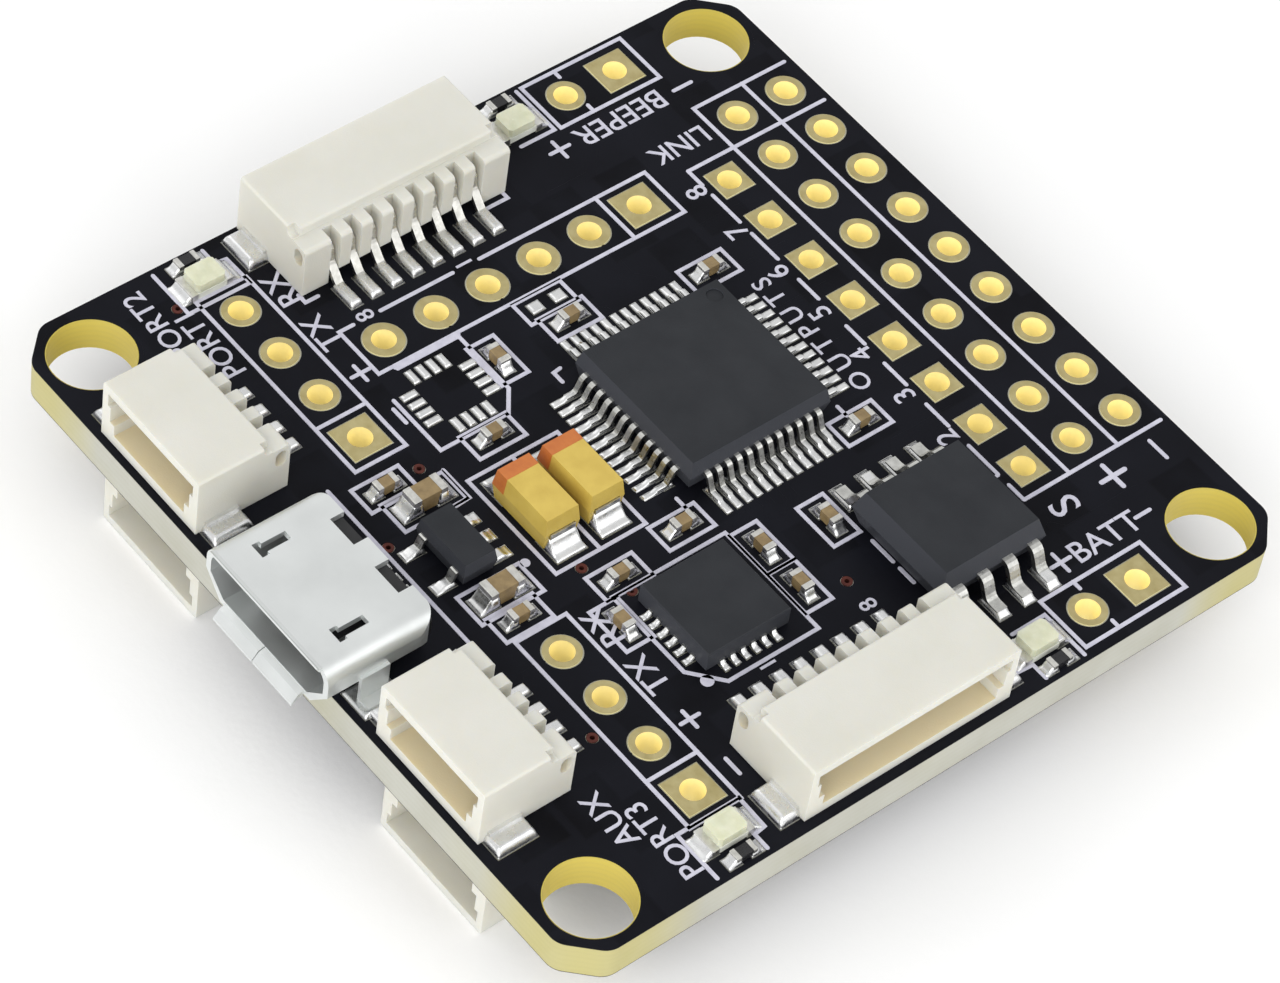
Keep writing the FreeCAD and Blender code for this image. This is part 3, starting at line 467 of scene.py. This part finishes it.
signal_pads = sorted(solids("signal_row_pads"), key=lambda b: b.x)
power_pads = sorted(solids("power_row_pads"), key=lambda b: b.x)
boot_pads = sorted(solids("boot_pads"), key=lambda b: b.y)
receiver_pads = sorted(solids("receiver_header_pads"), key=lambda b: b.y)
serial_one = sorted(solids("serial_one_pads"), key=lambda b: b.x)
serial_three = sorted(solids("serial_three_pads"), key=lambda b: b.x)
battery_pads = sorted(solids("battery_pads"), key=lambda b: b.y)
buzzer_pads = sorted(solids("buzzer_pads"), key=lambda b: b.y)
PITCH = signal_pads[1].x - signal_pads[0].x
CELL = PITCH / 2           # a pad's share of the printed frame, to each side

ink = Shape()


def line(*path, width=LINE, closed=False, lift=0):
    draw_line(ink, path, width, INK_Z, INK_HEIGHT + lift * INK_LIFT, closed)


def frame_round(x0, y0, x1, y1):
    line((x0, y0), (x1, y0), (x1, y1), (x0, y1), closed=True)


def dashes(y, *spans):
    for start, stop in spans:
        line((start, y), (stop, y))


def plus(x, y, size, width=LINE):
    line((x - size / 2, y), (x + size / 2, y), width=width)
    line((x, y - size / 2), (x, y + size / 2), width=width, lift=1)


texts = []


def words(text, x, y, turn=180, height=LETTER, spread=1.0):
    """Printed capitals or digits centred on x, y."""
    curve = bpy.data.curves.new("label", "FONT")
    curve.body = text
    curve.align_x, curve.align_y = "CENTER", "CENTER"
    curve.size = height / CAPITAL_SHARE
    curve.offset = SWELL
    curve.space_character = spread
    curve.resolution_u = 4
    curve.extrude = INK_HEIGHT / 2 + INK_LIFT
    holder = bpy.data.objects.new("label", curve)
    bpy.context.scene.collection.objects.link(holder)
    bpy.context.view_layer.update()
    mesh = bpy.data.meshes.new_from_object(holder.evaluated_get(bpy.context.evaluated_depsgraph_get()))
    bpy.data.objects.remove(holder)
    middle = (min(v.co.y for v in mesh.vertices) + max(v.co.y for v in mesh.vertices)) / 2
    turned = (Matrix.Translation((x, y, INK_Z + INK_HEIGHT / 2)) @
              Matrix.Rotation(math.radians(turn), 4, "Z") @ Matrix.Translation((0, -middle, 0)))
    mesh.transform(Matrix.Scale(MM, 4) @ turned)
    mesh.update()
    texts.append(mesh)


def print_motor_header():
    """Frame, row signs and column numbers of the three-row header."""
    left = boot_pads[0].x - CELL
    middle = boot_pads[0].x + CELL
    right = signal_pads[-1].x + CELL
    row_one, row_two = signal_pads[0].y + CELL, power_pads[0].y + CELL
    foot = signal_pads[0].y - 1.10
    brink = BOARD.y1 - 0.35
    line((left, brink), (left, row_one), (right, row_one))
    line((middle, brink), (middle, foot), lift=1)
    line((right, brink), (right, foot), lift=1)
    line((left, row_two), (right, row_two), lift=2)
    dashes(foot, (middle, -9.1), (-8.45, -6.75), (-6.0, -4.4), (-3.1, -1.9), (-0.2, 0.9),
           (2.1, 3.4), (4.6, 5.9), (7.1, 8.8), (9.45, right))
    for i, pad in enumerate(signal_pads):
        words(str(len(signal_pads) - i), pad.x - 0.20, foot - 0.45, height=0.95)
    sign_x = right + 1.05
    line((sign_x - 0.5, power_pads[0].y + PITCH - 0.10), (sign_x + 0.5, power_pads[0].y + PITCH - 0.10))
    plus(sign_x, power_pads[0].y + 0.05, 1.20, 0.22)
    words("S", sign_x + 0.05, signal_pads[0].y, height=1.35)
    words("OUTPUTS", node_box("processor_body").x, foot - 1.40, height=0.85, spread=1.45)


def print_pair(pads):
    """Box round an edge pair of pads, with a tick at each side between the two."""
    x0, x1 = pads[0].x - 1.30, pads[0].x + 1.30
    y0, y1 = pads[0].y - CELL, pads[1].y + 1.32
    frame_round(x0, y0, x1, y1)
    tick = pads[0].y + 0.42
    for x, inward in ((x0, 0.38), (x1, -0.38)):
        line((x, tick), (x + inward, tick), lift=1)


def print_edge_pairs():
    print_pair(buzzer_pads)
    print_pair(battery_pads)
    x = buzzer_pads[0].x + 2.20
    words("BEEPER", x, 9.55, -90)
    line((x, 12.30), (x, 13.20))
    plus(x, 6.40, 0.95)
    x = battery_pads[0].x - 2.27
    words("BATT", x, 11.35, 90)
    line((x, 12.98), (x, 13.72))
    plus(x, 9.10, 0.95)
    words("LINK", boot_pads[0].x, 10.60, -90, height=0.95)


def print_receiver_header():
    """Box round the six-pad header, two printed digits, and hooks beside the left port."""
    x0, x1 = receiver_pads[0].x - 1.25, receiver_pads[0].x + 1.28
    foot, head = receiver_pads[0].y - 1.22, receiver_pads[-1].y + 1.30
    shelf = receiver_pads[-1].y - 1.24
    first = receiver_pads[2].y - 0.11
    last = receiver_pads[0].y + 0.12
    gap = 0.66
    line((x0, first - gap), (x0, last + gap))
    line((x0, last - gap), (x0, foot), (x1, foot), (x1, head), (x0, head), (x0, first + gap))
    line((x0, shelf), (x1, shelf), lift=1)
    words("1", x0 - 0.13, first, height=0.78)
    words("8", x0 - 0.13, last, height=0.78)
    housing = node_box("left_port_housing")
    hook = housing.x1 + 0.30
    top, low = housing.y1 - 0.10, housing.y0 - 0.05
    line((hook - 0.45, top), (hook, top), (hook, top - 1.0))
    line((hook, low + 0.6), (hook, low), (hook - 0.45, low))


def print_serial(pads, names, port):
    """Box, divider and labels of a four-pad serial header."""
    x0, x1 = pads[0].x - 1.30, pads[-1].x + 1.27
    y0, y1 = pads[0].y - 1.19, pads[0].y + 1.22
    frame_round(x0, y0, x1, y1)
    fence = pads[-1].x - 1.24
    line((fence, y0), (fence, y1), lift=1)
    label_y = y1 + 0.72
    words(names[0], pads[0].x, label_y)
    words(names[1], pads[1].x + 0.10, label_y)
    plus(pads[2].x, label_y, 0.85)
    line((pads[3].x - 0.4, label_y - 0.05), (pads[3].x + 0.4, label_y - 0.05))
    words(port, *PORT_NAME_SPOTS[port], height=SMALL_LETTER)


def print_lamp_marks():
    """Broken corner marks round the four status lights."""
    low_left, low_right, high_left, high_right = sorted(
        solids("led_lenses"), key=lambda b: (b.y > 0, b.x))
    edge = BOARD.x1 - 0.30
    for lamp, sign in ((low_left, -1), (low_right, 1)):
        inner = lamp.x - sign * 0.95
        line((sign * edge, lamp.y + 0.95), (lamp.x + sign * 0.62, lamp.y + 0.95),
             (lamp.x + sign * 0.55, lamp.y + 1.48), (inner, lamp.y + 1.52), (inner, lamp.y - 1.40),
             (sign * edge, lamp.y - 1.40))
    for lamp, sign in ((high_left, -1), (high_right, 1)):
        inner = lamp.x - sign * 0.90
        head = battery_pads[0].y - CELL - 0.28
        line((sign * edge, head), (inner, head), (inner, lamp.y - 0.35))
        line((sign * edge, lamp.y - 0.65), (lamp.x + sign * 0.60, lamp.y - 0.65),
             (lamp.x + sign * 0.55, lamp.y - 1.40))


def outline_parts():
    """Boxes round the two-ended parts that stand on the component side."""
    for node, across, along in (("small_capacitor_bodies", 0.42, 0.85),
                                ("large_capacitor_bodies", 0.38, 1.00)):
        for part in solids(node):
            if part.z1 < DECK:
                continue
            upright = part.deep > part.wide
            dx, dy = (across, along) if upright else (along, across)
            frame_round(part.x0 - dx, part.y0 - dy, part.x1 + dx, part.y1 + dy)
    frame_round(*EMPTY_PAIR)
    pair = node_box("tantalum_bodies")
    x0, x1, y0, y1 = pair.x0 - 1.10, pair.x1 + 1.08, pair.y0 - 0.22, pair.y1 + 0.28
    frame_round(x0, y0, x1, y1)
    line((x0, pair.y), (x1, pair.y), lift=1)


def outline_chips():
    """Marks round the square chips: broken corners, chamfers and pin-one dots."""
    spare = node_box("spare_sensor_lands")
    x0, x1, y0, y1 = spare.x0 - 0.30, spare.x1 + 0.28, spare.y0 - 0.28, spare.y1 + 0.22
    line((x0, y0 + 1.1), (x0, y1), (x1 - 1.0, y1), (x1, y1 - 0.8), (x1, y0), (x0 + 1.2, y0))
    line((x0 - 0.12, y0 + 1.1), (x0 - 0.12, y1), width=0.30, lift=1)
    gyro = node_box("gyro_body")
    x0, x1, y0, y1 = gyro.x0 - 0.66, gyro.x1 + 0.82, gyro.y0 - 0.68, gyro.y1 + 0.80
    line((x0, y0), (x1 - 1.25, y0), (x1, y0 + 1.10), (x1, y1), (x0, y1), closed=True)
    dot(x1 - 0.45, y0 + 0.45, 0.27)
    flash = node_box("flash_memory_leads")
    x = flash.x0 + 0.25
    dashes(flash.y0 - 0.25, (x + 2.3, x + 3.5), (x + 3.9, x + 4.7))
    for digit, spot in RIGHT_PORT_ENDS.items():
        words(digit, *spot, height=0.75)
    cpu = node_box("processor_leads")
    line((cpu.x0 + 0.40, cpu.y0 + 0.83), (cpu.x0 + 0.45, cpu.y0 + 0.48), (cpu.x0 + 1.0, cpu.y0 + 0.48))
    line((cpu.x1 - 1.10, cpu.y1 - 0.42), (cpu.x1 - 0.55, cpu.y1 - 0.42))
    line((cpu.x1 - 1.05, cpu.y0 + 0.48), (cpu.x1 - 0.45, cpu.y0 + 0.48))
    supply = node_box("regulator_body")
    line((supply.x0 - 2.0, supply.y1 + 1.3), (supply.x0 - 0.4, supply.y1 + 1.3),
         (supply.x0 - 0.35, supply.y1 + 0.6))
    dot(supply.x1 + 0.35, supply.y1 + 1.1, 0.20)
    socket = node_box("usb_shell")
    line((socket.x0 - 0.3, socket.y1 + 1.45), (socket.x1 - 0.3, socket.y1 + 1.45))


def dot(x, y, radius):
    """A printed round spot."""
    count = 20
    ring = [(x + radius * math.cos(2 * math.pi * i / count),
             y + radius * math.sin(2 * math.pi * i / count)) for i in range(count)]
    top = [(px, py, INK_Z + INK_HEIGHT) for px, py in ring]
    foot = [(px, py, INK_Z) for px, py in ring]
    sides = [(i, (i + 1) % count, count + (i + 1) % count, count + i) for i in range(count)]
    ink.add(foot + top, sides + [tuple(range(count, 2 * count)), tuple(reversed(range(count)))])


def print_legend():
    print_motor_header()
    print_edge_pairs()
    print_receiver_header()
    print_serial(serial_one, ("RX", "TX"), "PORT1")
    print_serial(serial_three, ("RX", "TX"), "PORT3")
    for port in ("PORT2", "AUX"):
        words(port, *PORT_NAME_SPOTS[port], height=SMALL_LETTER)
    print_lamp_marks()
    outline_parts()
    outline_chips()
    ink.become("printed_lines", "legend_ink")
    for i, mesh in enumerate(texts):
        join_scene(mesh, f"printed_label_{i:02d}", "legend_ink")


# ---------------------------------------------------------------- solder
SOLDER_STEP = 0.075        # grid spacing of a solder surface
SOLDER_RIM = 0.10          # a solder surface rounds off over this much at a land's rim
SOLDER_SEAT = 0.012        # a solder surface starts this far inside its land
SOLDER_FOOT = 0.004        # and its base this much further in
dice = random.Random(7)

# terminal node: (the solder's crown, its climb up the terminal, reach of the climb), millimetres
TERMINALS = {
    "small_capacitor_ends": (0.05, 0.36, 0.34),
    "large_capacitor_ends": (0.07, 0.58, 0.48),
    "resistor_ends": (0.05, 0.26, 0.32),
    "led_ends": (0.05, 0.26, 0.40),
    "tantalum_terminals": (0.10, 0.55, 0.62),
    "processor_leads": (0.05, 0.12, 0.30),
    "flash_memory_leads": (0.07, 0.17, 0.30),
    "regulator_leads": (0.06, 0.13, 0.26),
    "gyro_terminals": (0.05, 0.17, 0.26),
    "usb_contacts": (0.05, 0.12, 0.25),
    "port_anchors": (0.09, 0.30, 0.42),
    "crystal_base": (0.05, 0.16, 0.25),
    "transistor_leads": (0.06, 0.12, 0.26),
    "diode_leads": (0.06, 0.12, 0.30),
}
PORT_CONTACT = (0.06, 0.18, 0.26)
SHELL_LEG = (0.10, 0.40, 0.50)
BARE = (0.07, 0.0, 1.0)


def terminals():
    """Every soldered terminal: its box and how solder wets it."""
    found = []
    for node, habit in TERMINALS.items():
        found += [(box, habit) for box in solids(node)]
    for node in NODES:
        if node.endswith("_port_contacts"):
            found += [(box, PORT_CONTACT) for box in solids(node)]
    shell = node_box("usb_shell")
    leg_y = (shell.y0 + shell.y1) / 2 - 0.15
    for x0, x1 in ((shell.x0 - 0.1, shell.x0 + 0.45), (shell.x1 - 0.45, shell.x1 + 0.1)):
        found.append((Box((x0, leg_y - 0.65, DECK), (x1, leg_y + 0.65, DECK + 1)), SHELL_LEG))
    return found


def pool(shape, land, standing, habit):
    """Solder on one land: a low pillow drawn up round the terminal that stands on it."""
    crown, climb, reach = habit
    crown *= dice.uniform(0.8, 1.2)
    climb *= dice.uniform(0.9, 1.05)
    top = land.z1 > DECK - 0.5
    level, way = (LAND_TOP - SOLDER_SEAT, 1) if top else (LAND_LOW + SOLDER_SEAT, -1)
    nx = max(5, round(land.wide / SOLDER_STEP))
    ny = max(5, round(land.deep / SOLDER_STEP))
    points = []
    for j in range(ny + 1):
        for i in range(nx + 1):
            x, y = land.x0 + land.wide * i / nx, land.y0 + land.deep * j / ny
            inset = min(x - land.x0, land.x1 - x, y - land.y0, land.y1 - y)
            rim = min(1.0, max(0.0, inset) / SOLDER_RIM)
            height = crown * math.sqrt(rim * (2 - rim))
            if standing:
                dx = max(standing.x0 - x, 0, x - standing.x1)
                dy = max(standing.y0 - y, 0, y - standing.y1)
                pull = max(0.0, 1 - math.hypot(dx, dy) / reach)
                height += climb * pull ** 2.2 * min(1.0, rim * 1.6)
            points.append((x, y, level + way * (height + SOLDER_SEAT * (rim > 0))))
    count = len(points)
    faces = []
    for j in range(ny):
        for i in range(nx):
            a = j * (nx + 1) + i
            quad = (a, a + 1, a + nx + 2, a + nx + 1)
            faces.append(quad if top else quad[::-1])
    ring = ([i for i in range(nx + 1)] + [j * (nx + 1) + nx for j in range(1, ny + 1)] +
            [ny * (nx + 1) + i for i in range(nx - 1, -1, -1)] +
            [j * (nx + 1) for j in range(ny - 1, 0, -1)])
    points += [(points[k][0], points[k][1], level - way * SOLDER_FOOT) for k in ring]
    for k in range(len(ring)):
        n = (k + 1) % len(ring)
        wall = (ring[k], count + k, count + n, ring[n])
        faces.append(wall if top else wall[::-1])
    base = tuple(range(count, count + len(ring)))
    faces.append(base[::-1] if top else base)
    shape.add(points, faces)


def flow_solder():
    standing = terminals()
    for node in ("processor_lands", "spare_sensor_lands", "component_lands", "underside_lands",
                 "port_lands"):
        shape = Shape()
        for land in solids(node):
            foot, habit = next(((b, h) for b, h in standing if land.meets(b)), (None, BARE))
            pool(shape, land, foot, habit)
        shape.become(f"solder_on_{node}", "solder", smooth=True)


# ---------------------------------------------------------------- lacquer round the stack holes
SKIRT_REACH = 0.26         # a skirt's outer edge, out from the hole's wall
SKIRT_FOOT, SKIRT_RIM = 0.03, 0.05  # its inner edge, low and high
SKIRT_SIDES = 64


def collar_holes():
    """A thin skirt of lacquer that creeps over the bare laminate to each hole's edge."""
    skirt = Shape()
    count = SKIRT_SIDES
    bare = HOLE_RADIUS + SKIRT_REACH
    for sx in (-1, 1):
        for sy in (-1, 1):
            for low, high in ((BOARD.z1 - 0.002, DECK - 0.004), (KEEL + 0.004, BOARD.z0 + 0.002)):
                points = []
                for radius, z in ((HOLE_RADIUS + SKIRT_FOOT, low), (HOLE_RADIUS + SKIRT_RIM, high),
                                  (bare, high), (bare, low)):
                    points += [(sx * HOLE_AT + radius * math.cos(2 * math.pi * i / count),
                                sy * HOLE_AT + radius * math.sin(2 * math.pi * i / count), z)
                               for i in range(count)]
                faces = []
                for ring in range(4):
                    after = (ring + 1) % 4
                    for i in range(count):
                        n = (i + 1) % count
                        faces.append((ring * count + i, ring * count + n,
                                      after * count + n, after * count + i))
                skirt.add(points, faces)
    skirt.become("lacquer_skirts", "mask_lacquer")


# ---------------------------------------------------------------- tracks under the lacquer
TRACK_HEIGHT = 0.009
TRACK_SINK = 0.003         # a ridge starts this far inside the lacquer
TRACK = 0.20               # width of a track


def lay_tracks():
    """Faint ridges in the lacquer where copper tracks run below it."""
    ridges = Shape()
    cpu = node_box("processor_leads")

    def track(*path, width=TRACK):
        draw_line(ridges, path, width, DECK - TRACK_SINK, TRACK_HEIGHT)

    for i, pad in enumerate(signal_pads[:6]):
        gap = pad.x + CELL
        bend = pad.y - 2.6 - 0.15 * i
        track((gap, pad.y - 0.3), (gap, bend), (gap + 0.5, bend - 0.5))
    for i in range(6):
        y = cpu.y0 + 1.9 + 0.5 * i
        track((cpu.x1 - 0.3, y), (cpu.x1 + 0.8 + 0.12 * i, y), (cpu.x1 + 1.3 + 0.12 * i, y - 0.5))
    for i in range(5):
        x = cpu.x1 - 1.6 - 0.5 * i
        track((x, cpu.y0 + 0.2), (x, cpu.y0 - 1.0 - 0.2 * i), (x - 0.5, cpu.y0 - 1.5 - 0.2 * i))
    for i, pad in enumerate(receiver_pads[1:5]):
        y = pad.y
        track((pad.x + 0.95, y), (cpu.x0 - 0.9 - 0.3 * i, y), (cpu.x0 - 0.3 - 0.3 * i, y + 0.6))
    for pads in (serial_one, serial_three):
        for i, pad in enumerate(pads[:3]):
            track((pad.x, pad.y - 0.9), (pad.x, pad.y - 1.9 - 0.25 * i),
                  (pad.x + 0.7, pad.y - 2.6 - 0.25 * i))
    gyro = node_box("gyro_body")
    for i in range(5):
        y = gyro.y0 + 0.9 + 0.5 * i
        track((gyro.x1 + 0.4, y), (gyro.x1 + 1.5, y), (gyro.x1 + 1.9, y + 0.4), (gyro.x1 + 2.6, y + 0.4))
    track((-12.0, 4.6), (-12.0, 6.6), (-13.2, 7.6), (-13.2, 14.2), width=0.45)
    track((12.4, 14.0), (12.4, 10.4), (11.9, 10.0), width=0.45)
    ridges.become("track_relief", "mask_lacquer")

    below = Shape()
    for i in range(9):
        x = -9.0 + 2.2 * i
        draw_line(below, [(x, 9.4), (x, 7.2 - 0.3 * (i % 3)), (x + 1.1, 5.6), (x + 1.1, 3.2)],
                  TRACK, KEEL - TRACK_HEIGHT + TRACK_SINK, TRACK_HEIGHT)
    for i in range(7):
        y = -4.6 + 1.1 * i
        draw_line(below, [(-8.2, y), (-7.4, y - 0.8), (-5.2, y - 0.8)],
                  TRACK, KEEL - TRACK_HEIGHT + TRACK_SINK, TRACK_HEIGHT)
    below.become("track_relief_under", "mask_lacquer")


# ---------------------------------------------------------------- stage, light and camera
AZIMUTH, ELEVATION, ROLL = 43.37, 50.10, 9.835
CAMERA_SPOT = (89.37, -94.79, 152.60)     # from the middle of the lacquer surface
LENS = 148.06
SENSOR_WIDTH = 36
FLOOR_GAP = 0.01           # keeps the paper and the ports' faces from coinciding
FLOOR_HALF = 1.6           # half the floor's side, metres


def make_floor():
    """A pale studio floor that the ports on the underside stand on."""
    half = FLOOR_HALF
    mesh = bpy.data.meshes.new("floor")
    z = CAD_LOW.z - FLOOR_GAP * MM
    mesh.from_pydata([(-half, -half, z), (half, -half, z), (half, half, z), (-half, half, z)], [],
                     [(0, 1, 2, 3)])
    g = Graph("floor_paper")
    g.join(g.blend(g.noise(40.0, 2.0), linear(250, 250, 250), linear(253, 253, 253)),
           g.shader.inputs["Base Color"])
    g.relief(g.noise(0.5), 0.01)
    g.set(Roughness=0.9, Specular_IOR_Level=0.1)
    mesh.materials.append(g.material)
    floor = bpy.data.objects.new("floor", mesh)
    bpy.context.scene.collection.objects.link(floor)


def add_lamp(name, azimuth, elevation, distance, size, power):
    """A square soft light aimed at the board."""
    data = bpy.data.lights.new(name, "AREA")
    data.size = size
    data.energy = power
    lamp = bpy.data.objects.new(name, data)
    a, e = math.radians(azimuth), math.radians(elevation)
    toward = Vector((math.sin(a) * math.cos(e), -math.cos(a) * math.cos(e), math.sin(e)))
    lamp.location = toward * distance
    lamp.rotation_mode = "QUATERNION"
    lamp.rotation_quaternion = toward.to_track_quat("Z", "Y")
    bpy.context.scene.collection.objects.link(lamp)


def light_scene():
    world = bpy.data.worlds.new("studio")
    bpy.context.scene.world = world
    world.use_nodes = True
    back = world.node_tree.nodes["Background"]
    back.inputs["Color"].default_value = (1.0, 1.0, 1.0, 1.0)
    back.inputs["Strength"].default_value = 0.80
    add_lamp("front_fill", 30, 26, 0.55, 0.45, 1.70)
    add_lamp("back_left", 285, 42, 0.60, 0.45, 0.40)
    add_lamp("right_side", 110, 32, 0.60, 0.45, 0.60)


def aim_camera():
    a, e, r = (math.radians(v) for v in (AZIMUTH, ELEVATION, ROLL))
    back = Vector((math.sin(a) * math.cos(e), -math.cos(a) * math.cos(e), math.sin(e)))
    right = Vector((0, 0, 1)).cross(back).normalized()
    up = back.cross(right)
    rolled_right = right * math.cos(r) + up * math.sin(r)
    rolled_up = up * math.cos(r) - right * math.sin(r)
    data = bpy.data.cameras.new("camera")
    data.lens = LENS
    data.sensor_width = SENSOR_WIDTH
    data.clip_start, data.clip_end = 0.01, 10
    camera = bpy.data.objects.new("camera", data)
    spot = (Vector(CAMERA_SPOT) + Vector((0, 0, DECK))) * MM
    turn = Matrix((rolled_right, rolled_up, back)).transposed().to_4x4()
    camera.matrix_world = Matrix.Translation(spot) @ turn
    bpy.context.scene.collection.objects.link(camera)
    bpy.context.scene.camera = camera


dress_nodes()
print_legend()
flow_solder()
collar_holes()
lay_tracks()
make_floor()
light_scene()
aim_camera()
bpy.context.scene.view_settings.view_transform = "Standard"
